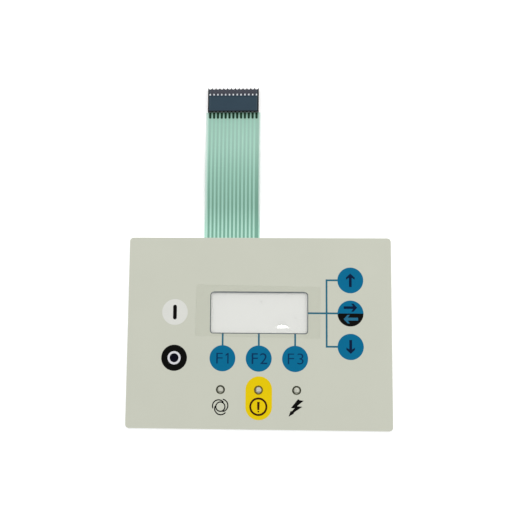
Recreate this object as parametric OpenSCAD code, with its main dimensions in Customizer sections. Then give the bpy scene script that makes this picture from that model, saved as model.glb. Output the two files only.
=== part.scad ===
// Membrane keypad: a printed film front, bonded over a spacer with snap domes and over a printed circuit film.
// The circuit film runs out of the panel as a flat tail, which ends in a row of crimped sockets in a housing.
// The keypad lies on its release liner, face up. The origin is the middle of the panel on its rear face.
// +Y runs along the tail, and +Z points out of the face.

/* [Panel] */
// Width of the panel
panel_w = 168; // [160:0.5:200]
// Height of the panel, without its tail
panel_h = 121; // [108:0.5:150]
// Radius of the panel's corners
corner_r = 2.5; // [1:0.1:6]

/* [Layers] */
// Thickness of the release liner
liner_t = 0.12; // [0.06:0.01:0.3]
// Thickness of the rear adhesive
rear_adhesive_t = 0.13; // [0.05:0.01:0.3]
// Thickness of the circuit film and its tail
circuit_t = 0.15; // [0.08:0.01:0.25]
// Thickness of the printed silver tracks
track_t = 0.03; // [0.01:0.005:0.06]
// Thickness of the spacer round the domes
spacer_t = 0.5; // [0.4:0.01:0.9]
// Thickness of the adhesive behind the front film
front_adhesive_t = 0.1; // [0.06:0.01:0.2]
// Thickness of the printed front film
overlay_t = 0.25; // [0.15:0.01:0.5]
// Depth of the printed colour fields
print_t = 0.06; // [0.02:0.01:0.1]

/* [Keys] */
// Diameter of a key's colour field
key_d = 16; // [12:0.5:18]
// Distance from the left edge to the start and stop keys
start_inset = 30.2; // [26:0.1:34]
// Distance from the right edge to the arrow keys
arrow_inset = 26; // [20:0.1:30]
// Distance from the lamps up to the function keys and the stop key
function_row_rise = 19.6; // [18.8:0.1:24]
// Distance from the function keys up to the window's middle
main_row_rise = 28.8; // [27:0.1:32]
// Distance from the stop key up to the start key
start_pitch = 29.2; // [20:0.1:36]
// Spacing of the function keys
function_pitch = 23; // [20:0.1:27]
// Spacing of the arrow keys
arrow_pitch = 21; // [19:0.1:25]

/* [Printed lines] */
// Width of the lines that join the keys to the window
line_w = 1; // [0.4:0.1:2]
// Distance from the arrow keys to the upright line beside them
bracket_reach = 15.1; // [11:0.1:18]

/* [Display window] */
// Width of the opening in the front film
window_w = 61.5; // [40:0.5:68]
// Height of the opening in the front film
window_h = 25.5; // [16:0.5:28]
// Radius of the opening's corners
window_r = 1.6; // [0.5:0.1:4]
// Width of the dark line round the opening
border_w = 0.5; // [0.2:0.1:1.5]
// How far the cut-out in the layers behind stands back from the opening
cutout_margin = 1.25; // [0.5:0.05:2]
// How far the clear window film laps onto the spacer
window_lap = 4; // [2:0.1:5]
// Gap between the window film and the adhesive round it
window_gap = 0.2; // [0.05:0.05:0.5]

/* [Protective film] */
// Width of the peel-off film over the window
guard_w = 79.4; // [72:0.1:90]
// Height of the peel-off film
guard_h = 32.8; // [30:0.1:38]
// Radius of its corners
guard_r = 0.8; // [0.2:0.1:3]
// Thickness of the peel-off film
guard_t = 0.06; // [0.03:0.01:0.15]
// Angle at which it was laid by hand
guard_turn = -0.85; // [-3:0.05:3]
// Sideways offset from the window's middle
guard_dx = -0.8; // [-3:0.1:3]
// Upward offset from the window's middle
guard_dy = 0.9; // [-2:0.1:2]

/* [Lamps] */
// Distance from the bottom edge up to the lamps
lamp_inset = 24.5; // [22:0.1:30]
// Spacing of the lamps
lamp_pitch = 24; // [20:0.1:30]
// Diameter of a lamp's clear lens
lens_d = 4.2; // [3.6:0.1:5]
// Height of the lens above the face
lens_rise = 0.5; // [0.3:0.05:1]
// Wall of the lens
lens_wall = 0.25; // [0.15:0.01:0.35]
// Width of the lens's flange behind the front film
lens_flange = 1.1; // [0.8:0.05:1.6]
// Radial clearance round the lens and its flange
lens_gap = 0.05; // [0.02:0.01:0.2]
// Width of the dark ring round a lens
lamp_ring_w = 0.7; // [0.3:0.05:1.2]
// Length of a lamp chip
chip_l = 1.6; // [1.2:0.1:2]
// Width of a lamp chip
chip_w = 0.8; // [0.5:0.1:1.2]
// Height of a lamp chip
chip_h = 0.6; // [0.4:0.05:0.8]
// Length of a solder pad under a chip's end
chip_pad = 0.5; // [0.3:0.05:0.6]
// Width of the yellow field behind the middle lamp
warning_w = 16.4; // [13:0.1:20]
// Height of the yellow field
warning_h = 26.8; // [22:0.1:28]
// Distance from the middle lamp up to the top of the yellow field
warning_top = 8.2; // [6:0.1:10]

/* [Domes] */
// Diameter of a snap dome
dome_d = 12; // [9:0.5:13]
// Height of a snap dome
dome_h = 0.42; // [0.25:0.01:0.44]
// Sheet thickness of a snap dome
dome_t = 0.08; // [0.05:0.01:0.12]
// Width of the flat rim that a dome stands on
dome_rim = 0.5; // [0.3:0.05:1]
// Radial clearance of a dome in the spacer
dome_gap = 0.5; // [0.35:0.05:0.8]
// Width of the air channels between the domes
vent_w = 0.8; // [0.4:0.1:2]

/* [Tracks] */
// Width of a signal track in the panel
track_w = 0.8; // [0.4:0.05:1]
// Width of the key common's track in the panel
common_w = 1.6; // [0.8:0.1:2.2]
// Spacing of tracks that run side by side
lane_pitch = 1.5; // [1.3:0.05:1.8]
// Distance from the panel's edge to its outermost track
edge_lane = 3; // [2:0.1:4]
// Diameter of the pad under a dome's middle
pad_d = 4; // [2:0.1:5]
// Width of the contact ring under a dome's rim
contact_ring_w = 1.4; // [1:0.05:2]
// Gap in the contact ring, where the signal track enters
contact_ring_gap = 2.4; // [1.6:0.1:4]

/* [Tail] */
// Spacing of the tail's tracks and of the sockets
pin_pitch = 2.54; // [2.4:0.01:2.7]
// Sideways offset of the tail from the panel's middle
tail_x = -17.9; // [-26:0.1:10]
// Length of the tail from the panel to the housing
tail_len = 83.3; // [50:0.1:140]
// Distance from the outer tracks to the tail's edges
tail_edge = 2.65; // [2.2:0.05:4]
// Width of a signal track on the tail
tail_track_w = 1.3; // [0.9:0.05:1.5]
// Width of the key common's track on the tail
tail_common_w = 2.4; // [1.5:0.05:2.7]
// Height of the arch that the tail's own spring gives it
tail_arch = 2; // [0:0.1:5]
// How far the tail rises to the crimps
tail_lift = 0.2; // [0.15:0.05:0.6]

/* [Housing] */
// Length of the housing along the tail
housing_len = 15.7; // [14:0.1:20]
// Thickness of the housing
housing_t = 3; // [2.8:0.1:4]
// Extra width of the housing beyond the outer socket columns
housing_end = 0.14; // [0.1:0.01:1]
// Size of the chamfer on the housing's edges
housing_chamfer = 0.25; // [0.1:0.05:0.3]
// Length of the sloped nose at the mating end
nose_len = 3; // [2:0.1:3.2]
// Drop of the sloped nose
nose_drop = 0.35; // [0.1:0.05:0.5]
// Depth of the scallops in the mating edge
scallop_depth = 0.9; // [0.5:0.05:1.1]
// Radius of the scallops in the mating edge
scallop_r = 1.14; // [1.1:0.01:1.18]
// Wall between the sockets and the mating end
nose_wall = 1.4; // [1.2:0.05:2]
// Side of the square hole that a header post enters by
post_hole = 1; // [0.8:0.05:1.2]
// Distance from the mating end to the middle of the latch windows
latch_inset = 4.4; // [4.2:0.05:6]
// Length of a latch window
latch_len = 1.35; // [1:0.05:1.8]
// Width of a latch window
latch_w = 1.05; // [0.8:0.05:1.4]
// Depth of the recessed field on the housing's face
recess_depth = 0.15; // [0.05:0.05:0.25]
// Margin round the recessed field
recess_margin = 1.2; // [0.8:0.1:2]

/* [Contacts] */
// Width of a contact's box
box_w = 1.7; // [1.5:0.05:1.8]
// Height of a contact's box
box_h = 1.5; // [1.3:0.05:1.6]
// Length of a contact's box
box_len = 8.5; // [7:0.1:9.5]
// Sheet thickness of a contact
contact_t = 0.2; // [0.15:0.01:0.25]
// Clearance of a contact in its cavity
contact_gap = 0.1; // [0.04:0.01:0.15]
// How far a contact's latch lies below the housing's face
latch_drop = 0.15; // [0.1:0.05:0.4]
// Width of the crimp strip on the tail
strip_w = 1.5; // [1:0.05:1.6]
// Length of the crimp strip outside the housing
strip_len = 4.2; // [3.6:0.1:6]
// Length of a crimp tine along the strip
tine_l = 0.8; // [0.5:0.05:1]
// Distance between the two pairs of tines
tine_pitch = 1.9; // [1.5:0.05:2.2]
// How far a tine folds under the film
tine_fold = 0.42; // [0.3:0.02:0.45]

/* [Hidden] */
$fn = 64;
cut = 0.5;        // overshoot of a cut past the surface it opens
way_count = 13;
tail_steps = 24;
dome_steps = 8;

// Heights of the layers, from the floor up
adhesive_z = liner_t;
circuit_z = adhesive_z + rear_adhesive_t;
track_z = circuit_z + circuit_t;
cover_z = track_z + spacer_t;
overlay_z = cover_z + front_adhesive_t;
face_z = overlay_z + overlay_t;

// Columns and rows of the face
start_x = -panel_w / 2 + start_inset;
arrow_x = panel_w / 2 - arrow_inset;
lamp_y = -panel_h / 2 + lamp_inset;
function_y = lamp_y + function_row_rise;
main_y = function_y + main_row_rise;
start_y = function_y + start_pitch;
bracket_x = arrow_x - bracket_reach;

// Keys: name, place, and the side from which the signal track enters
keys = [
    ["start", [start_x, start_y], 0],
    ["stop", [start_x, function_y], 0],
    ["f1", [-function_pitch, function_y], 180],
    ["f2", [0, function_y], 90],
    ["f3", [function_pitch, function_y], 90],
    ["up", [arrow_x, main_y + arrow_pitch], 180],
    ["swap", [arrow_x, main_y], 180],
    ["down", [arrow_x, main_y - arrow_pitch], 180],
];
lamps = [
    ["left", [-lamp_pitch, lamp_y]],
    ["middle", [0, lamp_y]],
    ["right", [lamp_pitch, lamp_y]],
];
function place(name) = [for (k = keys) if (k[0] == name) k[1]][0];

// Cut-out behind the display, and the clear film over it
cutout_w = window_w + 2 * cutout_margin;
cutout_h = window_h + 2 * cutout_margin;
pane_w = cutout_w + 2 * window_lap;
pane_h = cutout_h + 2 * window_lap;

// Lamp lens
lens_r = lens_d / 2;
flange_r = lens_r + lens_flange;
lamp_ring_r = lens_r + lens_gap + lamp_ring_w;
lamp_hole_r = flange_r - lens_flange / 2;

// Domes and the pads under them
dome_r = dome_d / 2;
dome_hole_r = dome_r + dome_gap;
contact_ring_r = dome_r + dome_gap / 2;

// Tail and housing
function way_x(i) = tail_x + (i - (way_count - 1) / 2) * pin_pitch;
function way_w(i) = i == way_count - 1 ? tail_common_w : tail_track_w;
tail_w = (way_count - 1) * pin_pitch + 2 * tail_edge;
tail_root_y = panel_h / 2 - edge_lane / 2;
housing_y = panel_h / 2 + tail_len;
mating_y = housing_y + housing_len;
housing_w = way_count * pin_pitch + 2 * housing_end;
crimp_z = circuit_z + tail_lift + circuit_t + track_t;
cavity_w = box_w + 2 * contact_gap;
cavity_h = box_h + contact_gap;
latch_y = mating_y - latch_inset;
post_z = crimp_z + box_h / 2;
box_end_y = mating_y - nose_wall - contact_gap;
tine_x = strip_w / 2 - contact_t;

// Lanes in which the tracks run: round the panel's edge, over the window, and down both of its sides
function rim_x(lane) = panel_w / 2 - edge_lane - lane * lane_pitch;
function rim_y(lane) = panel_h / 2 - edge_lane - lane * lane_pitch;
function left_x(lane) = (start_x + dome_hole_r - cutout_w / 2) / 2 + (1.5 - lane) * lane_pitch;
function right_x(lane) = (arrow_x - dome_hole_r + cutout_w / 2) / 2 - (1.5 - lane) * lane_pitch;
under_window_y = main_y - cutout_h / 2 - 2 * lane_pitch;
key_bus_y = function_y - dome_hole_r - 2.5 * lane_pitch;
key_bus_x = start_x - dome_hole_r - 4 * lane_pitch;
lamp_bus_y = lamp_y + lamp_hole_r + 2 * lane_pitch;
chip_pad_y = (chip_l - chip_pad) / 2;

// Flat outlines

module rounded_rect(w, h, r) {
    square([w - 2 * r, h], center = true);
    square([w, h - 2 * r], center = true);
    for (x = [-1, 1], y = [-1, 1])
        translate([x * (w / 2 - r), y * (h / 2 - r)])
            circle(r);
}

// An upright field with round ends
module pill(w, h) {
    square([w, h - w], center = true);
    for (y = [-1, 1])
        translate([0, y * (h - w) / 2])
            circle(d = w);
}

module panel_outline() {
    rounded_rect(panel_w, panel_h, corner_r);
}

module display_cutout() {
    translate([0, main_y])
        rounded_rect(cutout_w, cutout_h, window_r);
}

module at_keys() {
    for (k = keys)
        translate(k[1])
            children();
}

module at_lamps() {
    for (l = lamps)
        translate(l[1])
            children();
}

// A straight printed line between two points that share a row or a column
module bar(a, b, w) {
    translate([min(a.x, b.x) - w / 2, min(a.y, b.y) - w / 2])
        square([abs(a.x - b.x) + w, abs(a.y - b.y) + w]);
}

module path(points, w) {
    for (i = [1 : len(points) - 1])
        bar(points[i - 1], points[i], w);
}

// Printed colour fields

module key_field(name) {
    translate(place(name))
        circle(d = key_d);
}

module half_field(name, side) {
    intersection() {
        key_field(name);
        translate(place(name) + [0, side * key_d / 2])
            square(key_d, center = true);
    }
}

module blue_fields() {
    border_x = window_w / 2 + border_w;
    border_y = main_y - window_h / 2 - border_w;
    for (name = ["f1", "f2", "f3"]) {
        key_field(name);
        translate([place(name).x - line_w / 2, function_y])
            square([line_w, border_y - function_y]);
    }
    for (name = ["up", "down"]) {
        key_field(name);
        bar([bracket_x, place(name).y], place(name), line_w);
    }
    half_field("swap", 1);
    bar([bracket_x, place("down").y], [bracket_x, place("up").y], line_w);
    translate([border_x, main_y - line_w / 2])
        square([arrow_x - key_d / 2 + line_w / 2 - border_x, line_w]);
}

module white_fields() {
    key_field("start");
}

module black_fields() {
    key_field("stop");
    difference() {
        half_field("swap", -1);
        blue_fields();
    }
}

module yellow_fields() {
    difference() {
        translate([0, lamp_y + warning_top - warning_h / 2])
            pill(warning_w, warning_h);
        at_lamps() circle(lamp_ring_r);
    }
}

module grey_fields() {
    translate([0, main_y])
        difference() {
            rounded_rect(window_w + 2 * border_w, window_h + 2 * border_w, window_r + border_w);
            rounded_rect(window_w, window_h, window_r);
        }
    at_lamps()
        difference() {
            circle(lamp_ring_r);
            circle(lens_r + lens_gap);
        }
}

module printed() {
    translate([0, 0, face_z - print_t])
        linear_extrude(print_t)
            children();
}

module print_pockets() {
    translate([0, 0, face_z - print_t])
        linear_extrude(print_t + cut) {
            blue_fields();
            white_fields();
            black_fields();
            yellow_fields();
            grey_fields();
        }
}

// Tracks: each of the first twelve ways runs to one key or lamp

module key_net(name, points) {
    path(concat(points, [place(name)]), track_w);
    translate(place(name))
        circle(d = pad_d);
}

module lamp_pad(l, side) {
    translate(l[1] + [0, side * chip_pad_y])
        square([chip_w, chip_pad], center = true);
}

// Round the left side of the panel to the lower end of a lamp
module lamp_net(way, l) {
    path([
        [way_x(way), tail_root_y],
        [way_x(way), rim_y(way)],
        [-rim_x(way), rim_y(way)],
        [-rim_x(way), -rim_y(way)],
        [l[1].x, -rim_y(way)],
        l[1] - [0, chip_pad_y],
    ], track_w);
    lamp_pad(l, -1);
}

module lamp_common(way) {
    path([
        [way_x(way), tail_root_y],
        [way_x(way), rim_y(way)],
        [-rim_x(way), rim_y(way)],
        [-rim_x(way), lamp_bus_y],
        [lamp_pitch, lamp_bus_y],
    ], track_w);
    for (l = lamps) {
        bar([l[1].x, lamp_bus_y], l[1] + [0, chip_pad_y], track_w);
        lamp_pad(l, 1);
    }
}

// Over the window and down one of its sides
function left_route(way, lane) = [
    [way_x(way), tail_root_y],
    [way_x(way), rim_y(5 + lane)],
    [left_x(3 - lane), rim_y(5 + lane)],
];
function right_route(way, lane) = [
    [way_x(way), tail_root_y],
    [way_x(way), rim_y(5 + lane)],
    [right_x(3 - lane), rim_y(5 + lane)],
];
function down_to(points, y) = concat(points, [[points[len(points) - 1].x, y]]);

module contact_ring(k) {
    translate(k[1])
        difference() {
            circle(contact_ring_r);
            circle(contact_ring_r - contact_ring_w);
            rotate(k[2])
                translate([0, -contact_ring_gap / 2])
                    square([dome_d, contact_ring_gap]);
        }
}

// Round the right side of the panel, along under the function keys and up behind the start key
module key_common(way) {
    path([
        [way_x(way), tail_root_y],
        [way_x(way), rim_y(0)],
        [rim_x(0), rim_y(0)],
        [rim_x(0), key_bus_y],
        [key_bus_x, key_bus_y],
        [key_bus_x, start_y],
    ], common_w);
    reach = contact_ring_r - contact_ring_w / 2;
    for (name = ["up", "swap", "down"])
        bar([rim_x(0), place(name).y], place(name) + [reach, 0], track_w);
    for (name = ["start", "stop"])
        bar([key_bus_x, place(name).y], place(name) - [reach, 0], track_w);
    for (name = ["f1", "f2", "f3"])
        bar([place(name).x, key_bus_y], place(name) - [0, reach], track_w);
    for (k = keys)
        contact_ring(k);
}

module panel_tracks() {
    lamp_net(0, lamps[2]);
    lamp_net(1, lamps[1]);
    lamp_net(2, lamps[0]);
    lamp_common(3);
    key_net("start", down_to(left_route(4, 0), start_y));
    key_net("stop", down_to(left_route(5, 1), function_y));
    key_net("f1", down_to(left_route(6, 2), function_y));
    key_net("f2", concat(down_to(left_route(7, 3), under_window_y), [[0, under_window_y]]));
    key_net("f3", concat(down_to(right_route(8, 3), under_window_y), [[function_pitch, under_window_y]]));
    key_net("down", down_to(right_route(9, 2), place("down").y));
    key_net("swap", down_to(right_route(10, 1), main_y));
    key_net("up", down_to(right_route(11, 0), place("up").y));
    key_common(12);
}

// Tail: flat at both ends, with one long low arch between

function tail_z(y) =
    let (
        low = panel_h / 2,
        high = housing_y - strip_len,
        s = max(0, min(1, (y - low) / (high - low)))
    )
    circuit_z + tail_lift * s + tail_arch * pow(sin(180 * s), 2);
function tail_rows() =
    let (high = housing_y - strip_len)
    concat(
        [tail_root_y],
        [for (i = [0 : tail_steps]) panel_h / 2 + (high - panel_h / 2) * i / tail_steps],
        [housing_y]
    );

// A strip of the tail from x = left, between two heights above the film's underside
module tail_strip(left, w, low, high) {
    rows = tail_rows();
    top = len(rows) - 1;
    translate([left, 0, 0])
        rotate([90, 0, 90])
            linear_extrude(w)
                polygon(concat(
                    [for (y = rows) [y, tail_z(y) + low]],
                    [for (i = [0 : top]) [rows[top - i], tail_z(rows[top - i]) + high]]
                ));
}

module at_tines(i) {
    for (side = [-1, 1], row = [0, 1])
        translate([way_x(i), housing_y - strip_len + strip_w / 2 + row * tine_pitch, 0])
            scale([side, 1, 1])
                translate([tine_x, 0, 0])
                    children();
}

module tine_slots() {
    for (i = [0 : way_count - 1])
        at_tines(i)
            translate([0, 0, circuit_z - cut])
                cube([contact_t, tine_l, tail_lift + circuit_t + track_t + 2 * cut]);
}

// Layers, from the floor up

module release_liner() {
    color("#e9e4d3")
        linear_extrude(liner_t)
            difference() {
                panel_outline();
                display_cutout();
            }
}

module rear_adhesive() {
    color("#d9d6c8")
        translate([0, 0, adhesive_z])
            linear_extrude(rear_adhesive_t)
                difference() {
                    panel_outline();
                    display_cutout();
                }
}

module circuit_film() {
    color("#a5d7c3")
        difference() {
            union() {
                translate([0, 0, circuit_z])
                    linear_extrude(circuit_t)
                        difference() {
                            panel_outline();
                            display_cutout();
                        }
                tail_strip(tail_x - tail_w / 2, tail_w, 0, circuit_t);
            }
            tine_slots();
        }
}

module silver_tracks() {
    color("#78a596") {
        difference() {
            union() {
                translate([0, 0, track_z])
                    linear_extrude(track_t)
                        panel_tracks();
                for (i = [0 : way_count - 1])
                    tail_strip(way_x(i) - tail_track_w / 2, way_w(i), circuit_t, circuit_t + track_t);
            }
            tine_slots();
        }
    }
}

module dome_spacer() {
    color("#dfe3e0")
        difference() {
            translate([0, 0, track_z])
                linear_extrude(spacer_t)
                    difference() {
                        panel_outline();
                        display_cutout();
                        at_keys() circle(dome_hole_r);
                        at_lamps() circle(lamp_hole_r);
                        bar(place("start"), place("stop"), vent_w);
                        bar(place("f1"), place("f3"), vent_w);
                        bar(place("up"), place("down"), vent_w);
                    }
            translate([0, 0, track_z])
                linear_extrude(track_t) {
                    panel_tracks();
                    for (i = [0 : way_count - 1])
                        translate([way_x(i) - tail_track_w / 2, tail_root_y])
                            square([way_w(i), edge_lane]);
                }
        }
}

module front_adhesive() {
    color("#e4e2d6")
        translate([0, 0, cover_z])
            linear_extrude(front_adhesive_t)
                difference() {
                    panel_outline();
                    translate([0, main_y])
                        rounded_rect(pane_w + 2 * window_gap, pane_h + 2 * window_gap, window_r);
                    at_keys() circle(dome_hole_r);
                    at_lamps() circle(flange_r + lens_gap);
                }
}

module graphic_overlay() {
    color("#c8cbbc")
        difference() {
            translate([0, 0, overlay_z])
                linear_extrude(overlay_t)
                    difference() {
                        panel_outline();
                        translate([0, main_y])
                            rounded_rect(window_w, window_h, window_r);
                        at_lamps() circle(lens_r + lens_gap);
                    }
            print_pockets();
        }
}

module blue_print() {
    color("#0f668c")
        printed() blue_fields();
}

module white_print() {
    color("#dadbd3")
        printed() white_fields();
}

module black_print() {
    color("#1e1f1b")
        printed() black_fields();
}

module yellow_print() {
    color("#e6c004")
        printed() yellow_fields();
}

module grey_print() {
    color("#5c615c")
        printed() grey_fields();
}

module display_window() {
    color("#e1e1dd", 0.35)
        translate([0, main_y, cover_z])
            linear_extrude(front_adhesive_t)
                rounded_rect(pane_w, pane_h, window_r);
}

module protective_film() {
    color("#c5c7b9", 0.35)
        translate([guard_dx, main_y + guard_dy, face_z])
            rotate(guard_turn)
                linear_extrude(guard_t)
                    rounded_rect(guard_w, guard_h, guard_r);
}

// Snap dome: a low sprung cap on a flat rim
module dome(k) {
    crown_r = dome_r - dome_rim;
    crown_h = dome_h - dome_t;
    under = [for (i = [0 : dome_steps]) [crown_r * i / dome_steps, crown_h * (1 - pow(i / dome_steps, 2))]];
    color("silver")
        translate([k[1].x, k[1].y, track_z + track_t])
            rotate_extrude()
                polygon(concat(
                    under,
                    [[dome_r, 0], [dome_r, dome_t]],
                    [for (i = [0 : dome_steps]) under[dome_steps - i] + [0, dome_t]]
                ));
}

// Lamp chip: a flat carrier with end caps, and a clear block that gives the light
module lamp(l) {
    color("#f0eee2")
        translate([l[1].x, l[1].y, track_z + track_t]) {
            translate([-chip_w / 2, -chip_l / 2, 0])
                cube([chip_w, chip_l, chip_h / 3]);
            translate([-chip_w / 2, (chip_pad - chip_l) / 2, 0])
                cube([chip_w, chip_l - chip_pad, chip_h]);
        }
}

// Lens: a clear domed cap on a flange that is held behind the front film
module lens(l) {
    inner_r = lens_r - lens_wall;
    dome_z = front_adhesive_t + overlay_t;
    function cap(r, h) =
        [for (i = [0 : dome_steps]) [r * cos(90 * i / dome_steps), dome_z + h * sin(90 * i / dome_steps)]];
    inside = cap(inner_r, lens_rise - lens_wall / 2);
    color("#cfd2c4", 0.6)
        translate([l[1].x, l[1].y, cover_z])
            rotate_extrude()
                polygon(concat(
                    [[inner_r, 0], [flange_r, 0], [flange_r, front_adhesive_t], [lens_r, front_adhesive_t]],
                    cap(lens_r, lens_rise),
                    [for (i = [0 : dome_steps]) inside[dome_steps - i]]
                ));
}

// Housing

module housing_body() {
    c = housing_chamfer;
    half_w = housing_w / 2;
    intersection() {
        translate([tail_x - half_w, 0, 0])
            rotate([90, 0, 90])
                linear_extrude(housing_w)
                    polygon([
                        [housing_y + c, 0],
                        [mating_y - c, 0],
                        [mating_y, c],
                        [mating_y, housing_t - nose_drop],
                        [mating_y - nose_len, housing_t],
                        [housing_y + c, housing_t],
                        [housing_y, housing_t - c],
                        [housing_y, c],
                    ]);
        translate([tail_x, mating_y, 0])
            rotate([90, 0, 0])
                linear_extrude(housing_len)
                    polygon([
                        [c - half_w, 0],
                        [half_w - c, 0],
                        [half_w, c],
                        [half_w, housing_t - c],
                        [half_w - c, housing_t],
                        [c - half_w, housing_t],
                        [-half_w, housing_t - c],
                        [-half_w, c],
                    ]);
    }
}

module housing_recess() {
    low = housing_y + recess_margin;
    high = latch_y - latch_len / 2 - recess_margin / 2;
    translate([tail_x - housing_w / 2 + recess_margin, low, housing_t - recess_depth])
        cube([housing_w - 2 * recess_margin, high - low, recess_depth + cut]);
}

module socket(i) {
    translate([way_x(i), 0, 0]) {
        translate([-cavity_w / 2, housing_y - cut, crimp_z])
            cube([cavity_w, housing_len - nose_wall + cut, cavity_h]);
        translate([-post_hole / 2, mating_y - nose_wall - cut, post_z - post_hole / 2])
            cube([post_hole, nose_wall + 2 * cut, post_hole]);
        translate([-latch_w / 2, latch_y - latch_len / 2, post_z])
            cube([latch_w, latch_len, housing_t - post_z + cut]);
        translate([0, mating_y + scallop_r - scallop_depth, -cut])
            cylinder(r = scallop_r, h = housing_t + 2 * cut);
    }
}

module connector_housing() {
    color("#354854")
        difference() {
            housing_body();
            housing_recess();
            for (i = [0 : way_count - 1])
                socket(i);
        }
}

// Contact: a box that takes a header post, and a strip whose tines pierce the tail and fold under it
module contact(i) {
    latch_gap = 2 * contact_gap;
    latch_z = crimp_z + box_h - contact_t;
    color("#a9aba3") {
        translate([way_x(i), 0, 0]) {
            difference() {
                translate([-box_w / 2, box_end_y - box_len, crimp_z])
                    cube([box_w, box_len, box_h]);
                translate([contact_t - box_w / 2, box_end_y - box_len - cut, crimp_z + contact_t])
                    cube([box_w - 2 * contact_t, box_len + 2 * cut, box_h - 2 * contact_t]);
            }
            translate([(latch_gap - latch_w) / 2, latch_y - (latch_len - latch_gap) / 2, latch_z])
                cube([latch_w - latch_gap, latch_len - latch_gap, housing_t - latch_drop - latch_z]);
            translate([-strip_w / 2, housing_y - strip_len + strip_w / 2, crimp_z])
                cube([strip_w, box_end_y - box_len + contact_t - housing_y + strip_len - strip_w / 2, contact_t]);
            translate([0, housing_y - strip_len + strip_w / 2, crimp_z])
                cylinder(d = strip_w, h = contact_t);
        }
        at_tines(i) {
            foot_z = crimp_z - track_t - circuit_t - contact_t;
            translate([0, 0, foot_z])
                cube([contact_t, tine_l, crimp_z + contact_t - foot_z]);
            translate([contact_t - tine_fold, 0, foot_z])
                cube([tine_fold, tine_l, contact_t]);
        }
    }
}

release_liner();
rear_adhesive();
circuit_film();
silver_tracks();
dome_spacer();
front_adhesive();
graphic_overlay();
blue_print();
white_print();
black_print();
yellow_print();
grey_print();
display_window();
protective_film();
for (k = keys)
    dome(k);
for (l = lamps)
    lamp(l);
for (l = lamps)
    lens(l);
connector_housing();
for (i = [1 : way_count])
    contact(i - 1);
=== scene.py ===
import math

import bmesh
import bpy
from mathutils import Matrix, Vector


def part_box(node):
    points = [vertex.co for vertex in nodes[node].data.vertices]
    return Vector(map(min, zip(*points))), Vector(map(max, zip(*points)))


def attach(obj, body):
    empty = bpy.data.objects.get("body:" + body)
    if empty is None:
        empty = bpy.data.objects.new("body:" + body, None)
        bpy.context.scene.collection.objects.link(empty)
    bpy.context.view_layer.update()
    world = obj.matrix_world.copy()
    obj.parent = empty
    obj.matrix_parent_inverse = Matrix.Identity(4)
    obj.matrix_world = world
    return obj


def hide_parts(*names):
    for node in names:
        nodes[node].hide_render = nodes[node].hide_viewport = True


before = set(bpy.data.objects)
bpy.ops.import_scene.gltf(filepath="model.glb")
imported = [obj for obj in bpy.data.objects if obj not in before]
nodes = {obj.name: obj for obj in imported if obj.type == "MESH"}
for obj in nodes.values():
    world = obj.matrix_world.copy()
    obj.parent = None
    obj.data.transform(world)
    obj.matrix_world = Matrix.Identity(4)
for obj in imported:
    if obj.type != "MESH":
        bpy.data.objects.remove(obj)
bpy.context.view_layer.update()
mm = 0.001
print("frame loaded:", len(nodes), "nodes")


# shader tools

def shade(r, g, b):  # a screen colour from 0 to 255, as a linear socket value
    def toLinear(c):
        c /= 255
        return c / 12.92 if c <= 0.04045 else ((c + 0.055) / 1.055) ** 2.4
    return (toLinear(r), toLinear(g), toLinear(b), 1.0)


def cast(colour, share):  # a lighter or darker screen colour
    return tuple(min(255, c * share) for c in colour)


class Wire:  # a socket that takes part in Python sums
    def __init__(self, finish, socket):
        self.finish = finish
        self.socket = socket

    def of(self, name):  # another output of the same node
        return Wire(self.finish, self.socket.node.outputs[name])

    def sum(self, operation, first, second=0.0):
        return self.finish.node("Math", {"operation": operation}, {0: first, 1: second})

    def __add__(self, other):
        return self.sum("ADD", self, other)

    def __radd__(self, other):
        return self.sum("ADD", other, self)

    def __sub__(self, other):
        return self.sum("SUBTRACT", self, other)

    def __rsub__(self, other):
        return self.sum("SUBTRACT", other, self)

    def __mul__(self, other):
        return self.sum("MULTIPLY", self, other)

    def __rmul__(self, other):
        return self.sum("MULTIPLY", other, self)

    def __truediv__(self, other):
        return self.sum("DIVIDE", self, other)

    def __abs__(self):
        return self.sum("ABSOLUTE", self)

    def larger(self, other):
        return self.sum("MAXIMUM", self, other)

    def smaller(self, other):
        return self.sum("MINIMUM", self, other)

    def root(self):
        return self.sum("SQRT", self)

    def power(self, exponent):
        return self.sum("POWER", self, exponent)

    def sine(self):
        return self.sum("SINE", self)

    def fraction(self):
        return self.sum("FRACT", self)

    def ramp(self, low, high):  # 0 at low, 1 at high, smooth between
        limits = {"Value": self, "From Min": low, "From Max": high}
        return self.finish.node("MapRange", {"interpolation_type": "SMOOTHSTEP"}, limits)

    def rise(self, low, high):  # the same, with its limits in mm
        return self.ramp(low * mm, high * mm)

    def fall(self, low, high):  # 1 at low, 0 at high, in mm
        return 1 - self.rise(low, high)


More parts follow.
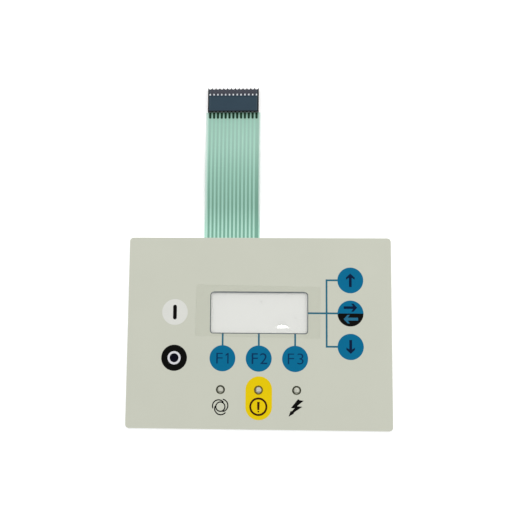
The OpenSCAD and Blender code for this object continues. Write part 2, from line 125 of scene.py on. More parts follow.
class Finish:  # one material, or the world, and its nodes
    def __init__(self, name, owner=None):
        self.owner = owner or bpy.data.materials.new(name)
        self.owner.use_nodes = True
        self.tree = self.owner.node_tree
        self.tree.nodes.clear()

    def node(self, kind, settings=None, inputs=None, out=0):
        made = self.tree.nodes.new("ShaderNode" + kind)
        for name, value in (settings or {}).items():
            setattr(made, name, value)
        for name, value in (inputs or {}).items():
            if isinstance(value, Wire):
                self.tree.links.new(value.socket, made.inputs[name])
            else:
                made.inputs[name].default_value = value
        return Wire(self, made.outputs[out]) if made.outputs else None

    def coords(self):  # object coordinates
        return self.node("TexCoord", out="Object")

    def place(self):  # the same, whole and as x and y; x.of("Z") is the height
        coords = self.coords()
        x = self.node("SeparateXYZ", {}, {0: coords})
        return coords, x, x.of("Y")

    def slope(self):  # 1 on faces that look up, -1 on those that look down
        normal = self.node("NewGeometry", out="Normal")
        return self.node("SeparateXYZ", {}, {0: normal}, out="Z")

    def noise(self, coords, size, detail=2.0, stretch=None):  # size of a fleck in mm
        if stretch:
            coords = self.node("Mapping", {}, {"Vector": coords, "Scale": stretch})
        return self.node("TexNoise", {}, {"Vector": coords, "Scale": 1 / (size * mm), "Detail": detail})

    def mix(self, amount, first, second):  # two colours, each a wire or a screen colour
        ends = [c if isinstance(c, Wire) else shade(*c) for c in (first, second)]
        return self.node("Mix", {"data_type": "RGBA"}, {0: amount, 6: ends[0], 7: ends[1]}, out=2)

    def vary(self, amount, colour, low, high):  # from a darker cast of one colour to a lighter one
        return self.mix(amount, cast(colour, low), cast(colour, high))

    def bump(self, height, depth):  # depth in thousandths of a mm
        return self.node("Bump", {}, {"Height": height, "Distance": depth * 1e-6, "Strength": 1.0})

    def coat(self, inputs):
        return self.node("BsdfPrincipled", {}, inputs)

    def grained(self, look, colour, pattern, metal=0.0):  # one pattern gives roughness and bump
        inputs = {
            "Base Color": colour, "Metallic": metal,
            "Roughness": look["rough"] + pattern * look["roughSpread"],
            "Normal": self.bump(pattern, look["depth"]),
        }
        if "gloss" in look:
            inputs["Specular IOR Level"] = look["gloss"]
        return self.coat(inputs)

    def wear(self, shader):
        self.node("OutputMaterial", {}, {"Surface": shader})
        return self.owner

    def wearOverClear(self, amount, tint, shader):  # clear where amount is 0
        through = self.node("BsdfTransparent", {}, {"Color": tint})
        return self.wear(self.node("MixShader", {}, {0: amount, 1: through, 2: shader}))


# places that several pieces share

def middle(node):
    low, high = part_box(node)
    return (low + high) / 2


def distance(dx, dy):
    return (dx * dx + dy * dy).root()


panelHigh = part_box("graphic_overlay")[1]
faceZ = panelHigh.z
houseLow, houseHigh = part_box("connector_housing")
wayCount = 13
keyNames = ["start", "stop", "f1", "f2", "f3", "up", "swap", "down"]
functionKeys = ["f1", "f2", "f3"]
lampNames = ["left", "middle", "right"]


# films and inks of the face

satin = {"grain": 0.17, "depth": 2.2, "patch": 7.0, "rough": 0.47, "roughSpread": 0.10, "gloss": 0.08}


def wearSatin(finish, coords, colour):  # the fine matt surface that the film and its inks share
    grain = finish.noise(coords, satin["grain"])
    patches = finish.noise(coords, satin["patch"])
    return finish.wear(finish.coat({
        "Base Color": colour,
        "Roughness": satin["rough"] + (patches - 0.5) * satin["roughSpread"],
        "Normal": finish.bump(grain, satin["depth"]),
        "Specular IOR Level": satin["gloss"],
    }))


overlayLook = {
    "film": (201, 203, 189), "clouds": 30.0, "cloudCast": (0.992, 1.012),
    # bare film at the cut edge
    "cut": (216, 218, 207), "cutEdge": (-0.35, -0.07), "cutSlope": (0.3, 0.8), "cutShare": 0.7,
    # painted shadow along the upper edge of the window, a grey band just above the frame's top line
    "topShadow": (104, 110, 116), "topShadowFoot": (-0.1, 0.0), "topShadowTop": (0.15, 0.5),
    "topShadowEnds": (-3.0, -1.5), "topShadowShare": 0.8,
    # ink crept past the edges of the round keys, the lines and the yellow pill
    "spread": (0.12, 0.3), "ragged": 0.1, "raggedSize": 0.4, "lineStart": (0.3, 0.6),
    "white": (219, 220, 214), "whiteDrop": 0.2,
    "yellow": (229, 199, 4), "pillSoft": 0.1,
    "pill": (0.3, -5.05, 5.3, 8.25),  # from the middle lamp: x, y, half length and radius
    # where that ink is black: round the lower half of the swap key, and on the left of the panel
    "halfway": (-0.1, 0.0), "swapSide": (-9.0, -8.6), "stopSide": (-40, -38),
    "keyRadius": 8.0,
    "lineHalf": 0.36,
    "bracketReach": 15.1,             # from the arrow keys to the upright line
    "frame": (31.25, 13.25),          # half width and half height of the window frame
    "away": 1.0,                      # in metres, past any gap on the film
}
inkedKeys = [key for key in keyNames if key != "start"]


def keyGap(x, y, keys=inkedKeys):  # from a place on the film to the nearest round key
    gap = overlayLook["away"]
    for key in keys:
        spot = middle("dome_" + key)
        gap = (distance(x - spot.x, y - spot.y) - overlayLook["keyRadius"] * mm).smaller(gap)
    return gap


def lineGap(x, y):  # and to the nearest line
    look = overlayLook
    home = middle("dome_swap")
    upright = home.x - look["bracketReach"] * mm
    frameX, frameY = look["frame"][0] * mm, home.y - look["frame"][1] * mm
    high, low = middle("dome_up").y, middle("dome_down").y
    lines = [(upright, home.x, high, high), (upright, home.x, low, low), (upright, upright, low, high),
             (frameX, home.x, home.y, home.y)]
    for key in functionKeys:
        spot = middle("dome_" + key)
        lines.append((spot.x, spot.x, spot.y, frameY))
    gap = look["away"]
    for left, right, bottom, top in lines:
        across = abs(x - (left + right) / 2) - (right - left) / 2
        along = abs(y - (bottom + top) / 2) - (top - bottom) / 2
        gap = (across.larger(along) - look["lineHalf"] * mm).smaller(gap)
    return gap


def pillGap(x, y):  # and to the yellow pill
    lamp = middle("lens_middle")
    pillX, pillY, half, radius = overlayLook["pill"]
    dx = x - (lamp.x + pillX * mm)
    dy = (abs(y - (lamp.y + pillY * mm)) - half * mm).larger(0.0)
    return distance(dx, dy) - radius * mm


def overlayFinish():
    look = overlayLook
    finish = Finish("overlayFilm")
    coords, x, y = finish.place()
    clouds = finish.noise(coords, look["clouds"], detail=3.0)
    colour = finish.vary(clouds, look["film"], *look["cloudCast"])
    rim = (abs(x) - panelHigh.x).larger(abs(y) - panelHigh.y)
    side = 1 - abs(finish.slope()).ramp(*look["cutSlope"])
    cut = rim.rise(*look["cutEdge"]).larger(side)
    colour = finish.mix(cut * look["cutShare"], colour, look["cut"])
    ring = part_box("grey_print")[1]
    above, beside = y - ring.y, abs(x) - ring.x
    # painted shadow just above the window frame's top line
    topShadow = above.rise(*look["topShadowFoot"]) * above.fall(*look["topShadowTop"])
    topShadow = topShadow * beside.fall(*look["topShadowEnds"])
    colour = finish.mix(topShadow * look["topShadowShare"], colour, look["topShadow"])
    home = middle("dome_swap")
    dx, dy = x - home.x, y - home.y
    black = dy.fall(*look["halfway"]) * dy.rise(*look["swapSide"]) * dx.rise(*look["swapSide"])
    black = black + x.fall(*look["stopSide"])
    toKeys = keyGap(x, y)
    ink = finish.mix(toKeys.rise(*look["lineStart"]), inkLook["blue"], inkLook["line"])
    ink = finish.mix(black, ink, inkLook["black"])
    ragged = (finish.noise(coords, look["raggedSize"], detail=3.0) - 0.5) * (look["ragged"] * mm)
    toInk = toKeys.smaller(lineGap(x, y)) + ragged
    colour = finish.mix(toInk.fall(*look["spread"]), colour, ink)
    toWhite = keyGap(x, y + look["whiteDrop"] * mm, ["start"]) + ragged
    colour = finish.mix(toWhite.fall(*look["spread"]), colour, look["white"])
    pill = pillGap(x, y).fall(-look["pillSoft"], look["pillSoft"])
    colour = finish.mix(pill, colour, look["yellow"])
    return wearSatin(finish, coords, colour)


inkLook = {
    "blue": (2, 106, 146), "white": (220, 221, 215), "black": (5, 5, 3), "yellow": (230, 200, 3),
    "grey": (82, 92, 100),
    "flow": 11.0, "flowShare": 0.8, "castSpread": 0.025,
    "mesh": 0.28, "meshShare": 0.15,  # pitch of the screen that the ink was pressed through
    "line": (40, 104, 126), "lineStart": (-0.1, 0.4),  # the blue ink in thin lines
    "core": (2, 1, 19), "coreEdge": (2.7, 2.9),        # the black ink inside the stop ring
    # the grey ink round the lamps, its lower arc with painted light, and where it lies over yellow
    "olive": (56, 58, 42), "oliveLowLight": (108, 110, 94), "brown": (112, 96, 28),
    "lampRow": (-25, -20), "lowArc": (-2.6, -1.7), "lampReach": (4, 5),
}


def nearMiddleLamp(x, y):
    spot = middle("lens_middle")
    return abs(x - spot.x).larger(abs(y - spot.y)).fall(*inkLook["lampReach"])


def inkFinish(tone):
    look = inkLook
    finish = Finish(tone + "Ink")
    coords, x, y = finish.place()
    turn = 2 * math.pi / (look["mesh"] * mm)
    mesh = (x * turn).sine() * (y * turn).sine()
    flow = finish.noise(coords, look["flow"], detail=3.0)
    amount = flow * look["flowShare"] + mesh * look["meshShare"]
    colour = finish.vary(amount, look[tone], 1 - look["castSpread"], 1 + look["castSpread"])
    if tone == "blue":
        colour = finish.mix(keyGap(x, y).rise(*look["lineStart"]), colour, look["line"])
    if tone == "black":
        spot = middle("dome_stop")
        core = distance(x - spot.x, y - spot.y).fall(*look["coreEdge"])
        colour = finish.mix(core, colour, look["core"])
    if tone == "grey":
        up = y - middle("lens_middle").y
        # painted light on the lower arc of each lamp's ring
        olive = finish.mix(up.rise(*look["lowArc"]), look["oliveLowLight"], look["olive"])
        colour = finish.mix(y.fall(*look["lampRow"]), colour, olive)
        colour = finish.mix(nearMiddleLamp(x, y), colour, look["brown"])
    return wearSatin(finish, coords, colour)


clearLook = {
    "window": {"tint": (0.907, 0.908, 0.900, 1), "rough": 0.06, "haze": 0.03, "edge": 0.5, "gloss": 0.6},
    "guard": {"tint": (0.991, 0.992, 0.988, 1), "rough": 0.05, "haze": 0.02, "edge": 0.5, "gloss": 0.6},
    "mirror": (250, 250, 248), "faceOn": 0.04,  # share mirrored by a face seen straight on
    "sideSlope": (0.2, 0.7), "topSlope": (0.2, 0.6),
    "scuff": 0.9, "scuffStretch": (1.0, 0.2, 1.0), "scuffLimits": (0.62, 0.8), "scuffRough": 0.15,
    "lifted": (0.09, 0.12),           # height above the face from which air lies under the guard
    # x, y and radius of specks caught under the guard
    "specks": [(1.5, 19.6, 0.75), (23.3, 9.2, 0.85)], "speckShare": 0.14,
}


def clearFinish(kind):
    look, film = clearLook, clearLook[kind]
    finish = Finish(kind + "Clear")
    coords, x, y = finish.place()
    scuffs = finish.noise(coords, look["scuff"], detail=4.0, stretch=look["scuffStretch"])
    scuffs = scuffs.ramp(*look["scuffLimits"])
    slope = finish.slope()
    side = 1 - abs(slope).ramp(*look["sideSlope"])
    facing = finish.node("LayerWeight", {}, {"Blend": 0.5}, out="Facing")
    gloss = look["faceOn"] + facing.power(5) * (1 - look["faceOn"])
    share = slope.ramp(*look["topSlope"]) * film["gloss"]
    amount = scuffs * film["haze"] + side * film["edge"]
    if kind == "guard":
        share = share + (x.of("Z") - faceZ).rise(*look["lifted"])  # two more bright faces over air
        for sx, sy, radius in look["specks"]:
            dx, dy = x - sx * mm, y - sy * mm
            speck = 1 - (dx * dx + dy * dy).ramp(0.0, (radius * mm) ** 2)
            amount = amount + speck * look["speckShare"]
    amount = amount + gloss * share
    rough = film["rough"] + scuffs * look["scuffRough"]
    mirror = finish.coat({"Base Color": shade(*look["mirror"]), "Metallic": 1.0, "Roughness": rough})
    return finish.wearOverClear(amount, film["tint"], mirror)


lensLook = {
    "body": (216, 217, 203), "tint": (0.95, 0.95, 0.92, 1), "solid": 0.75,
    "ripple": 0.5, "rough": 0.16, "roughSpread": 0.08, "depth": 4.0,
    # painted shade on the steep flank of the lens, warmer near the middle lamp, and painted light on its
    # lower side
    "rim": (64, 66, 50), "warmRimShade": (104, 86, 38), "rimSlope": (0.75, 0.97),
    "lowRimLight": (166, 166, 148), "lowRimLightSide": (-2.0, -1.4),
    # painted shade: a dark arc below the crown, and a darker left side
    "arcShade": (112, 113, 98), "arcDrop": 1.3, "arcWidth": (0.1, 0.42), "arcReach": (0.8, 1.6),
    "arcShadeShare": 0.75, "leftShade": (-1.7, -0.7), "leftShadeShare": 0.5,
}


def lensFinish():
    look = lensLook
    finish = Finish("lensPlastic")
    coords, x, y = finish.place()
    first = middle("lens_left")
    pitch = middle("lens_middle").x - first.x
    # from the middle of the nearest lens
    across = (((x - first.x) / pitch + 0.5).fraction() - 0.5) * pitch
    up = y - first.y
    # painted shade below the crown and on the left of each lens
    arcShade = abs(up + look["arcDrop"] * mm).fall(*look["arcWidth"]) * abs(across).fall(*look["arcReach"])
    left = across.fall(*look["leftShade"])
    lensShade = (arcShade * look["arcShadeShare"]).larger(left * look["leftShadeShare"])
    body = finish.mix(lensShade, look["body"], look["arcShade"])
    # painted shade on the steep flank, painted lighter on its lower side
    rim = finish.mix(nearMiddleLamp(x, y), look["rim"], look["warmRimShade"])
    rim = finish.mix(up.rise(*look["lowRimLightSide"]), look["lowRimLight"], rim)
    steep = 1 - abs(finish.slope()).ramp(*look["rimSlope"])
    colour = finish.mix(steep, body, rim)
    shell = finish.grained(look, colour, finish.noise(coords, look["ripple"]))
    return finish.wearOverClear(look["solid"] + steep * (1 - look["solid"]), look["tint"], shell)


# layers behind the face, the tail and the connector

layerLook = {
    "adhesive": {"pale": (228, 226, 214), "deep": (214, 211, 197), "fleck": 1.2,
                 "rough": 0.3, "roughSpread": 0.2, "depth": 6.0},
    "spacerFilm": {"pale": (228, 232, 229), "deep": (217, 222, 219), "fleck": 3.0,
                   "rough": 0.35, "roughSpread": 0.2, "depth": 2.0},
    "domeSteel": {"pale": (205, 205, 201), "deep": (172, 172, 168), "fleck": 0.3,
                  "rough": 0.28, "roughSpread": 0.2, "depth": 1.5},
}


def layerFinish(kind, metal=0.0, stretch=None):
    look = layerLook[kind]
    finish = Finish(kind)
    flecks = finish.noise(finish.coords(), look["fleck"], detail=4.0, stretch=stretch)
    colour = finish.mix(flecks, look["deep"], look["pale"])
    return finish.wear(finish.grained(look, colour, flecks, metal))


linerLook = {
    "paper": (236, 231, 215), "fibre": (219, 212, 192), "fibreSize": 0.5, "fibreLong": 0.12,
    "fibreLimits": (0.2, 0.42), "fibreShare": 0.6, "clouds": 18.0,
    "rough": 0.55, "roughSpread": -0.15, "depth": 8.0,
}


def linerFinish():
    look = linerLook
    finish = Finish("linerPaper")
    coords = finish.coords()
    along = finish.noise(coords, look["fibreSize"], detail=4.0, stretch=(1.0, look["fibreLong"], 1.0))
    across = finish.noise(coords, look["fibreSize"], detail=4.0, stretch=(look["fibreLong"], 1.0, 1.0))
    fibres = (along * across).ramp(*look["fibreLimits"])
    clouds = finish.noise(coords, look["clouds"])
    amount = fibres * look["fibreShare"] + clouds * (1 - look["fibreShare"])
    colour = finish.mix(amount, look["fibre"], look["paper"])
    return finish.wear(finish.grained(look, colour, fibres))


tailLook = {
    "film": (163, 207, 190), "deep": (156, 202, 184), "streak": 1.1, "stretch": (1.0, 0.02, 1.0),
    "rough": 0.22, "roughSpread": 0.08, "depth": 3.0, "gloss": 0.25,
    "litNearPanel": (183, 228, 210), "litNearPanelEnd": (2, 24),     # painted light, close to the panel
    # the thin margins beside the tracks
    "bare": (205, 226, 217), "bareEdge": (-1.9, -0.57), "bareStart": (4, 22), "clearOfPanel": 5,
    # the tracks, seen faintly through the film from behind
    "shadow": (150, 190, 172), "shadowShare": 0.75, "trackEdge": (0.5, 0.8), "rowEnd": 0.1,
    "shadowStart": (0, 1), "underSlope": (-0.6, -0.3),
}


# painted light on film and tracks, fading out away from the panel
def nearPanel(y):
    return (y - panelHigh.y).fall(*tailLook["litNearPanelEnd"])


def tailFinish():
    look = tailLook
    finish = Finish("circuitFilm")
    coords, x, y = finish.place()
    along = y - panelHigh.y
    streaks = finish.noise(coords, look["streak"], detail=3.0, stretch=look["stretch"])
    colour = finish.mix(streaks, look["deep"], look["film"])
    # painted light close to the panel
    colour = finish.mix(nearPanel(y), colour, look["litNearPanel"])
    tailStart = panelHigh.y + look["clearOfPanel"] * mm
    sides = [v.co.x for v in nodes["circuit_film"].data.vertices if v.co.y > tailStart]
    low, high = min(sides), max(sides)
    reach = abs(x - (low + high) / 2) - (high - low) / 2
    bare = reach.rise(*look["bareEdge"]) * along.rise(*look["bareStart"])
    colour = finish.mix(bare, colour, look["bare"])
    firstWay = middle("contact_1").x
    pitch = (middle("contact_%d" % wayCount).x - firstWay) / (wayCount - 1)
    ways = (x - firstWay) / pitch + 0.5
    tracks = (abs(ways.fraction() - 0.5) * pitch).fall(*look["trackEdge"])
    rowEnd = look["rowEnd"]
    row = ways.ramp(-rowEnd, rowEnd) * (1 - ways.ramp(wayCount - rowEnd, wayCount + rowEnd))
    under = 1 - finish.slope().ramp(*look["underSlope"])
    shadow = tracks * row * along.rise(*look["shadowStart"]) * under
    colour = finish.mix(shadow * look["shadowShare"], colour, look["shadow"])
    return finish.wear(finish.grained(look, colour, streaks))


trackLook = {
    "ink": (96, 143, 124), "pale": (107, 153, 134), "flake": 0.14,
    "streak": 0.6, "stretch": (1.0, 0.03, 1.0), "streakShare": 0.6,
    "rough": 0.24, "roughSpread": 0.1, "depth": 2.0, "gloss": 0.25,
    "litNearPanel": (122, 171, 152),                          # painted light, close to the panel
    "worn": (158, 198, 181), "wornShare": 0.9,         # paler all the way to the crimps
}


def trackFinish():
    look = trackLook
    finish = Finish("silverInk")
    coords, x, y = finish.place()
    flakes = finish.noise(coords, look["flake"])
    streaks = finish.noise(coords, look["streak"], detail=3.0, stretch=look["stretch"])
    amount = flakes * (1 - look["streakShare"]) + streaks * look["streakShare"]
    colour = finish.mix(amount, look["ink"], look["pale"])
    # painted light close to the panel
    colour = finish.mix(nearPanel(y), colour, look["litNearPanel"])
    along = (y - panelHigh.y) / (houseLow.y - panelHigh.y)
    colour = finish.mix(along.larger(0.0) * look["wornShare"], colour, look["worn"])
    return finish.wear(finish.grained(look, colour, flakes))


housingLook = {
    "plastic": (38, 59, 73), "pale": (46, 66, 80),
    "flow": 4.0, "stretch": (0.4, 1.0, 1.0), "flowShare": 0.7,
    "grain": 0.12, "rough": 0.5, "roughSpread": 0.15, "depth": 7.0, "gloss": 0.2,
    # limits from the upper edge; the nose band is a warmer tint with a little painted sheen
    "nose": (62, 64, 74), "noseEdge": (-5.5, -4.5),
    "lip": (26, 28, 34), "lipEdge": (-1.3, -0.65), "lipShare": 0.6,
    # from the two ends: a painted highlight along a chamfer near each end, and painted shade on the ends
    # beyond it
    "endHighlight": (72, 88, 98), "endHighlightAt": 1.35, "endHighlightWidth": (0.1, 0.35), "endHighlightShare": (0.2, 0.6),
    "end": (18, 24, 26), "endEdge": (-1.0, -0.6),
    # and from the lower edge
    "foot": (6, 14, 20), "footEdge": (0.35, 0.65),
}


def housingFinish():
    look = housingLook
    finish = Finish("housingPlastic")
    coords, x, y = finish.place()
    grain = finish.noise(coords, look["grain"], detail=3.0)
    flow = finish.noise(coords, look["flow"], detail=3.0, stretch=look["stretch"])
    amount = flow * look["flowShare"] + grain * (1 - look["flowShare"])
    colour = finish.mix(amount, look["plastic"], look["pale"])
    below = y - houseHigh.y
    # the nose band: a warmer tint with a little painted sheen
    colour = finish.mix(below.rise(*look["noseEdge"]), colour, look["nose"])
    reach = abs(x - (houseLow.x + houseHigh.x) / 2) - (houseHigh.x - houseLow.x) / 2
    # a painted highlight along a chamfer near each end
    least, spread = look["endHighlightShare"]
    endHighlight = abs(reach + look["endHighlightAt"] * mm).fall(*look["endHighlightWidth"]) * (least + grain * spread)
    colour = finish.mix(endHighlight, colour, look["endHighlight"])
    # painted shade on the ends
    colour = finish.mix(reach.rise(*look["endEdge"]), colour, look["end"])
    colour = finish.mix(below.rise(*look["lipEdge"]) * look["lipShare"], colour, look["lip"])
    colour = finish.mix((y - houseLow.y).fall(*look["footEdge"]), colour, look["foot"])
    return finish.wear(finish.grained(look, colour, grain))


contactLook = {
    "tin": (228, 232, 238), "tinCast": (0.94, 1.0), "metal": 0.15,
    "rolled": 0.25, "stretch": (1.0, 0.1, 1.0),
    "rough": 0.45, "roughSpread": 0.12, "depth": 4.0, "gloss": 0.2,
    "crimpShadeAndTint": (2, 52, 27), "crimpShadeEnd": (-0.2, 0.6),       # the crimps, up to the housing, painted dark green: shade and the film's green over them
}


def contactFinish():
    look = contactLook
    finish = Finish("contactMetal")
    coords, x, y = finish.place()
    rolled = finish.noise(coords, look["rolled"], detail=3.0, stretch=look["stretch"])
    # painted shade and green tint on the crimps outside the housing
    inside = (y - houseLow.y).rise(*look["crimpShadeEnd"])
    colour = finish.mix(inside, look["crimpShadeAndTint"], finish.vary(rolled, look["tin"], *look["tinCast"]))
    return finish.wear(finish.grained(look, colour, rolled, inside * look["metal"]))


chipLook = {
    "resin": (244, 240, 222), "resinCast": (0.96, 1.0), "cloud": 0.3,
    "rough": 0.25, "roughSpread": 0.15, "depth": 3.0,
    "cap": (198, 198, 194), "capStart": (0.53, 0.57), "metal": 0.8,
}


def chipFinish():
    look = chipLook
    finish = Finish("lampChip")
    coords, x, y = finish.place()
    cap = abs(y - middle("lamp_middle").y).rise(*look["capStart"])
    cloud = finish.noise(coords, look["cloud"])
    colour = finish.mix(cap, finish.vary(cloud, look["resin"], *look["resinCast"]), look["cap"])
    return finish.wear(finish.grained(look, colour, cloud, cap * look["metal"]))


guardClear = clearFinish("guard")
lensPlastic = lensFinish()
inks = {tone: inkFinish(tone) for tone in ["blue", "white", "black", "yellow", "grey"]}
adhesive = layerFinish("adhesive")
domeSteel = layerFinish("domeSteel", metal=1.0, stretch=(1.0, 0.1, 1.0))
lampChip = chipFinish()
contactMetal = contactFinish()

worn = {
    "graphic_overlay": overlayFinish(), "display_window": clearFinish("window"),
    "protective_film": guardClear, "rear_adhesive": adhesive, "front_adhesive": adhesive,
    "dome_spacer": layerFinish("spacerFilm"), "release_liner": linerFinish(),
    "circuit_film": tailFinish(), "silver_tracks": trackFinish(), "connector_housing": housingFinish(),
}
worn.update({tone + "_print": finish for tone, finish in inks.items()})
worn.update({"dome_" + key: domeSteel for key in keyNames})
worn.update({"lamp_" + side: lampChip for side in lampNames})
worn.update({"lens_" + side: lensPlastic for side in lampNames})
worn.update({"contact_%d" % way: contactMetal for way in range(1, wayCount + 1)})
for name, node in nodes.items():
    node.data.materials.clear()
    node.data.materials.append(worn[name])
print("finishes on", len(worn), "nodes")


# mesh tools

def publish(name, bm, finish, replaced=(), sharpFrom=35):
    bmesh.ops.recalc_face_normals(bm, faces=bm.faces[:])
    for edge in bm.edges:
        edge.smooth = edge.is_manifold and edge.calc_face_angle(0) < math.radians(sharpFrom)
    for face in bm.faces:
        face.smooth = True
    mesh = bpy.data.meshes.new(name)
    bm.to_mesh(mesh)
    bm.free()
    mesh.materials.append(finish)
    piece = bpy.data.objects.new(name, mesh)
    bpy.context.scene.collection.objects.link(piece)
    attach(piece, "root")
    if replaced:
        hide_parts(*replaced)


def thicken(bm, faces, height):
    grown = bmesh.ops.extrude_face_region(bm, geom=faces)["geom"]
    top = [g for g in grown if isinstance(g, bmesh.types.BMVert)]
    bmesh.ops.translate(bm, verts=top, vec=(0, 0, height))


def platePoints(width, height, taper=1.0):  # an upright plate in mm, its foot narrowed by taper
    halfW, halfH = width / 2, height / 2
    return [(-halfW * taper, -halfH), (halfW * taper, -halfH), (halfW, halfH), (-halfW, halfH)]


def roundCorners(bm, corners, radius, segments=8):
    bmesh.ops.bevel(bm, geom=corners, offset=radius * mm, offset_type="OFFSET", affect="VERTICES",
                    segments=segments, profile=0.5, material=-1)


def addPlate(bm, points, centre, height, turn=0.0, rounded=0.0):
    spin = Matrix.Rotation(turn, 3, "Z")
    corners = [bm.verts.new(centre + spin @ Vector((px * mm, py * mm, 0))) for px, py in points]
    face = bm.faces.new(corners)
    if rounded:
        roundCorners(bm, corners, rounded)
        face = max(bm.faces, key=lambda f: f.calc_area())
    thicken(bm, [face], height)


def addArc(bm, centre, radius, width, height, start=0.0, sweep=360.0, steps=64):
    section = [(-0.5, 0), (0.5, 0), (0.5, 1), (-0.5, 1)]
    facing = Matrix.Rotation(math.radians(start), 3, "Z")
    corners = [bm.verts.new(centre + facing @ Vector(((radius + a * width) * mm, 0, b * height)))
               for a, b in section]
    whole = sweep >= 360
    if whole:
        geom = corners + [bm.edges.new((corners[i], corners[(i + 1) % 4])) for i in range(4)]
    else:
        geom = [bm.faces.new(corners)]
    bmesh.ops.spin(bm, geom=geom, cent=centre, axis=(0, 0, 1), angle=math.radians(sweep), steps=steps,
                   use_merge=whole, use_duplicate=False)


def addDisc(bm, centre, radius, height, segments=32):
    made = bmesh.ops.create_circle(bm, cap_ends=True, radius=radius * mm, segments=segments,
                                   matrix=Matrix.Translation(centre))
    thicken(bm, made["verts"][0].link_faces[:1], height)


def spinShell(profile, steps, spot, baseZ):  # radius and height, from the axis out and back to it
    bm = bmesh.new()
    chain = [bm.verts.new((r * mm, 0, baseZ + h * mm)) for r, h in profile]
    links = [bm.edges.new(pair) for pair in zip(chain, chain[1:])]
    bmesh.ops.spin(bm, geom=chain + links, cent=(0, 0, 0), axis=(0, 0, 1), angle=2 * math.pi,
                   steps=steps, use_merge=True, use_duplicate=False)
    bmesh.ops.remove_doubles(bm, verts=bm.verts[:], dist=1e-7)
    bmesh.ops.translate(bm, verts=bm.verts[:], vec=(spot.x, spot.y, 0))
    return bm


# signs on the keys and below the lamps

signLook = {
    "height": 0.012, "flow": 1.5, "castSpread": 0.07,
    "navy": (2, 26, 58), "letter": (2, 50, 88), "brown": (60, 26, 4),
    "black": (3, 3, 2), "white": (214, 214, 218), "blue": (38, 106, 138),
}


def signFinish(tone):
    finish = Finish(tone + "Sign")
    coords = finish.coords()
    flow = finish.noise(coords, signLook["flow"], detail=3.0)
    colour = finish.vary(flow, signLook[tone], 1 - signLook["castSpread"], 1 + signLook["castSpread"])
    return wearSatin(finish, coords, colour)


signs = {tone: signFinish(tone) for tone in ["navy", "letter", "brown", "black", "white", "blue"]}
signUp = signLook["height"] * mm


def onFace(node, dx=0.0, dy=0.0):
    spot = middle(node)
    return Vector((spot.x + dx * mm, spot.y + dy * mm, faceZ))


barLook = {"size": (2.4, 9.4), "drop": 0.3, "rounded": 1.164}
bm = bmesh.new()
spot = onFace("dome_start", 0, -barLook["drop"])
addPlate(bm, platePoints(*barLook["size"]), spot, signUp, rounded=barLook["rounded"])
publish("startBar", bm, signs["black"])

ringLook = {"radius": 3.5, "line": 1.34}
bm = bmesh.new()
addArc(bm, onFace("dome_stop"), ringLook["radius"], ringLook["line"], signUp)
publish("stopRing", bm, signs["white"])

letterLook = {
    "f1": {"words": "F", "at": -1.85, "w": 4.05, "h": 6.7, "bold": -0.011},
    "f2": {"words": "F2", "at": 0.5, "w": 9.9, "h": 6.8, "bold": -0.003},
    "f3": {"words": "F3", "at": 0.35, "w": 9.9, "h": 6.8, "bold": -0.011},
    # the figure one, with its flag: x from the middle of the key, and y from the middle of the letters
    "one": [(3.1, -3.35), (3.9, -3.35), (3.9, 3.35), (3.25, 3.35), (1.75, 2.1), (2.15, 1.5), (3.1, 2.2)],
    "spacing": 1.12, "curveSteps": 6,
}


def makeLetters(key):
    look = letterLook[key]
    words = bpy.data.curves.new(key + "Words", "FONT")
    words.body = look["words"]
    words.extrude = 0.5  # any depth: the letters are scaled to their size below
    words.space_character = letterLook["spacing"]
    words.offset = look["bold"]
    words.resolution_u = letterLook["curveSteps"]
    holder = bpy.data.objects.new(key + "Words", words)
    bpy.context.scene.collection.objects.link(holder)
    drawn = bpy.data.meshes.new_from_object(holder.evaluated_get(bpy.context.evaluated_depsgraph_get()))
    bpy.data.objects.remove(holder)
    bpy.data.curves.remove(words)
    bm = bmesh.new()
    bm.from_mesh(drawn)
    bpy.data.meshes.remove(drawn)
    bmesh.ops.remove_doubles(bm, verts=bm.verts[:], dist=1e-5)
    low = Vector(min(v.co[i] for v in bm.verts) for i in range(3))
    high = Vector(max(v.co[i] for v in bm.verts) for i in range(3))
    size = high - low
    toMiddle = (-(low.x + high.x) / 2, -(low.y + high.y) / 2, -low.z)
    scale = (look["w"] * mm / size.x, look["h"] * mm / size.y, signUp / size.z)
    bmesh.ops.translate(bm, verts=bm.verts[:], vec=toMiddle)
    bmesh.ops.scale(bm, verts=bm.verts[:], vec=scale)
    bmesh.ops.translate(bm, verts=bm.verts[:], vec=onFace("dome_" + key, look["at"]))
    if key == "f1":
        addPlate(bm, letterLook["one"], onFace("dome_f1"), signUp)
    publish(key + "Letters", bm, signs["letter"])


for key in functionKeys:
    makeLetters(key)

arrowLook = {
    "up": {"key": "up", "at": (0, 0.1), "turn": 0, "ink": "navy", "slot": "black_ink",
           "len": 8.6, "shaft": 0.86, "span": 2.75, "depth": 2.6, "cut": 1.35, "notch": 2.75},
    "down": {"key": "down", "at": (0, 0), "turn": 180, "ink": "navy", "slot": "black_ink",
             "len": 8.7, "shaft": 0.86, "span": 2.7, "depth": 2.6, "cut": 1.35, "notch": 2.75},
    "right": {"key": "swap", "at": (0, 3.72), "turn": -90, "ink": "navy", "slot": "black_ink",
              "len": 8.5, "shaft": 0.8, "span": 2.55, "depth": 2.4, "cut": 1.35, "notch": 2.6},
    "left": {"key": "swap", "at": (0.2, -3.55), "turn": 90, "ink": "blue", "slot": "blue_ink",
             "len": 9.1, "shaft": 0.93, "span": 2.7, "depth": 2.5, "cut": 1.4, "notch": 2.6},
}


def arrowOutline(look):
    tip, tail = look["len"] / 2, -look["len"] / 2
    right = [(look["span"], tip - look["depth"]), (look["span"], tip - look["depth"] - look["cut"]),
             (look["shaft"], tip - look["notch"]), (look["shaft"], tail)]
    return [(0, tip)] + right + [(-px, py) for px, py in reversed(right)]


